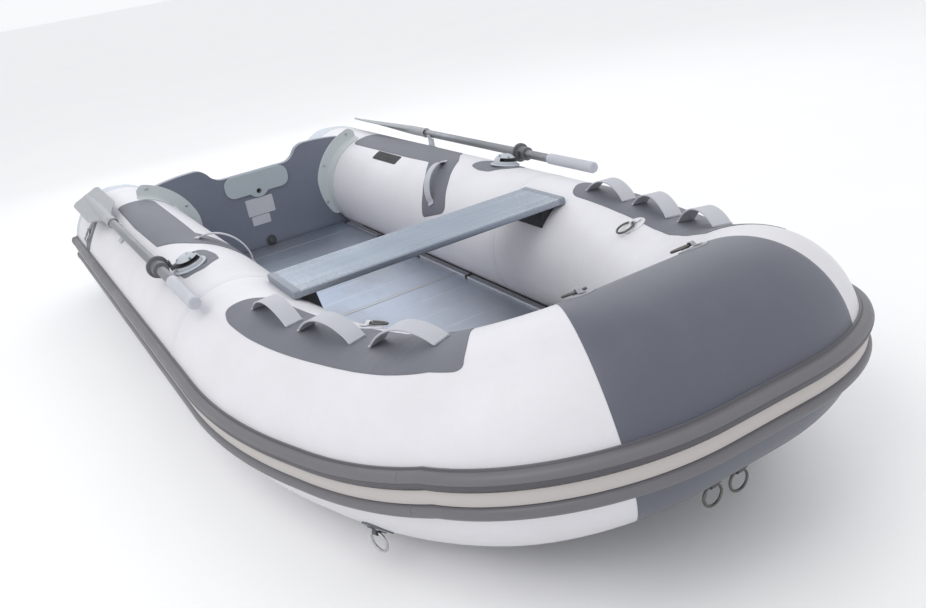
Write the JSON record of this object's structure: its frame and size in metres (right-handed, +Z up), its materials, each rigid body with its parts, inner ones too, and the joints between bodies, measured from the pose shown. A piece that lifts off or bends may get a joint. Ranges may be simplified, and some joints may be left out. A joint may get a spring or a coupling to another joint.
{
  "type": "inflatable dinghy",
  "caption": "Inflatable tube dinghy with aluminium floor, bench, motor transom, strap handles and a pair of stowed oars in swivel oarlocks.",
  "frame": {"origin": "middle of the overall box on the surface the boat stands on", "axes": "+X to the bow along the boat, +Y to port, +Z up"},
  "size_m": [3.3736, 1.5506, 0.573],
  "materials": {
    "tube_white": "coated fabric, satin white",
    "tube_dark": "coated fabric, satin blue-grey",
    "cone_grey": "coated fabric, light blue-grey",
    "patch_grey": "coated fabric with fine grain, dark grey",
    "strake_grey": "moulded rubber, satin",
    "stripe_pale": "moulded rubber, warm grey",
    "bottom_grey": "coated fabric, heavy",
    "board_grey": "plywood with dark grey lacquer",
    "fitting_grey": "moulded plastic, light grey",
    "fitting_dark": "moulded plastic, dark grey",
    "rubber_black": "moulded rubber",
    "deck_aluminium": "anodised, brushed",
    "shaft_aluminium": "anodised tube",
    "steel": "stainless",
    "blade_grey": "moulded plastic, light grey"
  },
  "bodies": {
    "hull": {"tube_starboard": "tube_white", "tube_port": "tube_white", "tube_bow": "tube_dark", "stern_cones": "cone_grey", "chamber_baffles": "tube_white", "strake_starboard": "strake_grey", "strake_bow": "strake_grey", "strake_port": "strake_grey", "strake_stripe": "stripe_pale", "hull_bottom": "bottom_grey", "keel_tube": "bottom_grey", "transom_board": "board_grey", "motor_pad_inner": "fitting_grey", "motor_pad_outer": "fitting_grey", "transom_holders": "fitting_grey", "transom_screws": "steel", "drain_body": "fitting_dark", "blank_labels": "fitting_dark", "floor_aft": "deck_aluminium", "floor_mid": "deck_aluminium", "floor_fore": "deck_aluminium", "floor_joints": "deck_aluminium", "floor_bow": "deck_aluminium", "stringer_starboard": "deck_aluminium", "stringer_port": "deck_aluminium", "stringer_ends": "rubber_black", "bench_brackets": "rubber_black", "grab_handles_starboard": "fitting_grey", "grab_handles_port": "fitting_grey", "side_patches": "patch_grey", "handle_patches": "patch_grey", "carry_handles": "fitting_grey", "oarlock_bases": "fitting_grey", "oar_hooks": "fitting_grey", "ring_pads": "patch_grey", "valve_bodies": "fitting_grey"},
    "swivel_starboard": {"lock_swivel_starboard": "fitting_dark"},
    "collar_starboard": {"oar_collar_starboard": "fitting_dark"},
    "oar_starboard": {"oar_shaft_starboard": "shaft_aluminium", "oar_grip_starboard": "blade_grey", "oar_blade_starboard": "blade_grey"},
    "cap_starboard": {"valve_cap_starboard": "fitting_dark"},
    "swivel_port": {"lock_swivel_port": "fitting_dark"},
    "collar_port": {"oar_collar_port": "fitting_dark"},
    "oar_port": {"oar_shaft_port": "shaft_aluminium", "oar_grip_port": "blade_grey", "oar_blade_port": "blade_grey"},
    "cap_port": {"valve_cap_port": "fitting_dark"},
    "bench": {"bench_board": "deck_aluminium"},
    "plug": {"drain_plug": "fitting_dark"},
    "ring_stern_starboard": {"ring_stern_starboard": "steel"},
    "ring_stern_port": {"ring_stern_port": "steel"},
    "ring_inner_starboard": {"ring_inner_starboard": "steel"},
    "ring_inner_port": {"ring_inner_port": "steel"},
    "ring_bow_starboard": {"ring_bow_starboard": "steel"},
    "ring_bow_port": {"ring_bow_port": "steel"},
    "ring_side_starboard": {"ring_side_starboard": "steel"},
    "ring_side_port": {"ring_side_port": "steel"},
    "ring_tow_starboard": {"ring_tow_starboard": "steel"},
    "ring_tow_port": {"ring_tow_port": "steel"}
  },
  "joints": [
    {"name": "oar_swing_starboard", "type": "hinge", "parent": "hull", "child": "swivel_starboard", "pos_m": [-0.0275, -0.58582, 0.43997], "axis": [0, -0.2079, 0.9781], "range_deg": [0, 140]},
    {"name": "oar_dip_starboard", "type": "hinge", "parent": "swivel_starboard", "child": "collar_starboard", "pos_m": [-0.0275, -0.6706, 0.44444], "axis": [0, -0.9781, -0.2079], "range_deg": [-4, 0]},
    {"name": "oar_feather_starboard", "type": "hinge", "parent": "collar_starboard", "child": "oar_starboard", "pos_m": [-0.0275, -0.6706, 0.44444], "axis": [1, 0, 0], "range_deg": [-40, 50]},
    {"name": "valve_cap_turn_starboard", "type": "hinge", "parent": "hull", "child": "cap_starboard", "pos_m": [-0.0755, -0.313, 0.215], "axis": [0, 1, 0], "range_deg": [0, 90]},
    {"name": "oar_swing_port", "type": "hinge", "parent": "hull", "child": "swivel_port", "pos_m": [-0.0275, 0.58582, 0.43997], "axis": [0, 0.2079, 0.9781], "range_deg": [-140, 0]},
    {"name": "oar_dip_port", "type": "hinge", "parent": "swivel_port", "child": "collar_port", "pos_m": [-0.0275, 0.6706, 0.44444], "axis": [0, 0.9781, -0.2079], "range_deg": [0, 4]},
    {"name": "oar_feather_port", "type": "hinge", "parent": "collar_port", "child": "oar_port", "pos_m": [-0.0275, 0.6706, 0.44444], "axis": [1, 0, 0], "range_deg": [-50, 40]},
    {"name": "valve_cap_turn_port", "type": "hinge", "parent": "hull", "child": "cap_port", "pos_m": [-0.0755, 0.313, 0.215], "axis": [0, -1, 0], "range_deg": [0, 90]},
    {"name": "bench_lift", "type": "slide", "parent": "hull", "child": "bench", "axis": [0, 0, 1], "range_m": [0, 0.3]},
    {"name": "drain_plug_pull", "type": "slide", "parent": "hull", "child": "plug", "axis": [1, 0, 0], "range_m": [0, 0.036]},
    {"name": "ring_stern_starboard_swing", "type": "hinge", "parent": "hull", "child": "ring_stern_starboard", "pos_m": [-1.1975, -0.71922, 0.34666], "axis": [-1, 0, 0], "range_deg": [0, 120]},
    {"name": "ring_stern_port_swing", "type": "hinge", "parent": "hull", "child": "ring_stern_port", "pos_m": [-1.1975, 0.71922, 0.34666], "axis": [1, 0, 0], "range_deg": [0, 120]},
    {"name": "ring_inner_starboard_swing", "type": "hinge", "parent": "hull", "child": "ring_inner_starboard", "pos_m": [0.86723, -0.3962, 0.43584], "axis": [0.9592, 0.2768, 0.0579], "range_deg": [0, 120]},
    {"name": "ring_inner_port_swing", "type": "hinge", "parent": "hull", "child": "ring_inner_port", "pos_m": [0.86723, 0.3962, 0.43584], "axis": [-0.9592, 0.2768, -0.0579], "range_deg": [0, 120]},
    {"name": "ring_bow_starboard_swing", "type": "hinge", "parent": "hull", "child": "ring_bow_starboard", "pos_m": [1.34499, -0.14734, 0.55726], "axis": [0.1826, 0.981, 0.0656], "range_deg": [0, 120]},
    {"name": "ring_bow_port_swing", "type": "hinge", "parent": "hull", "child": "ring_bow_port", "pos_m": [1.34499, 0.14734, 0.55726], "axis": [-0.1826, 0.981, -0.0656], "range_deg": [0, 120]},
    {"name": "ring_side_starboard_swing", "type": "hinge", "parent": "hull", "child": "ring_side_starboard", "pos_m": [1.12379, -0.58056, 0.09313], "axis": [-0.9437, -0.302, -0.1347], "range_deg": [-40, 70]},
    {"name": "ring_side_port_swing", "type": "hinge", "parent": "hull", "child": "ring_side_port", "pos_m": [1.12379, 0.58056, 0.09313], "axis": [0.9437, -0.302, 0.1347], "range_deg": [-40, 70]},
    {"name": "ring_tow_starboard_swing", "type": "hinge", "parent": "hull", "child": "ring_tow_starboard", "pos_m": [1.55366, -0.036, 0.16022], "axis": [0, -1, 0], "range_deg": [-40, 70]},
    {"name": "ring_tow_port_swing", "type": "hinge", "parent": "hull", "child": "ring_tow_port", "pos_m": [1.55366, 0.036, 0.16022], "axis": [0, -1, 0], "range_deg": [-40, 70]}
  ]
}
